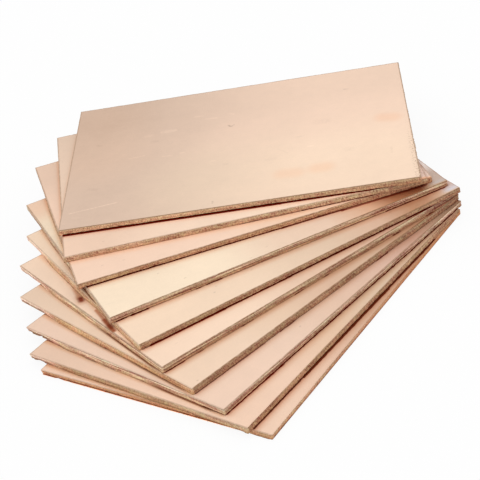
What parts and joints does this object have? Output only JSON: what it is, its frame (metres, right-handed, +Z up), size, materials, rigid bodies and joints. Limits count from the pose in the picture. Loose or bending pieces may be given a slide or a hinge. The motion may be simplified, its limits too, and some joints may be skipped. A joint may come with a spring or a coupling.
{
  "type": "stack of copper-clad laminate sheets",
  "caption": "Loose stack of flat rectangular copper-clad laminate sheets, bare blanks for circuit boards, fanned out about one corner.",
  "frame": {"origin": "centre of the lowest sheet's underside, on the surface that the stack lies on", "axes": "+X along the long edges of the uppermost sheet, towards the corner that the fan turns about; +Y along its short edges, away from the viewer; +Z up, normal to the sheets"},
  "size_m": [0.1232, 0.1532, 0.015],
  "materials": {
    "core": "sheared edge of resin-bonded laminate, tan, grainy and matte",
    "copper": "bare copper foil, pale, satin, with faint rolling marks and light scratches"
  },
  "bodies": {
    "root": {"sheet_01_core": "core", "sheet_01_foil": "copper", "sheet_02_core": "core", "sheet_02_foil": "copper", "sheet_03_core": "core", "sheet_03_foil": "copper", "sheet_04_core": "core", "sheet_04_foil": "copper", "sheet_05_core": "core", "sheet_05_foil": "copper", "sheet_06_core": "core", "sheet_06_foil": "copper", "sheet_07_core": "core", "sheet_07_foil": "copper", "sheet_08_core": "core", "sheet_08_foil": "copper", "sheet_09_core": "core", "sheet_09_foil": "copper", "sheet_10_core": "core", "sheet_10_foil": "copper"}
  },
  "joints": []
}
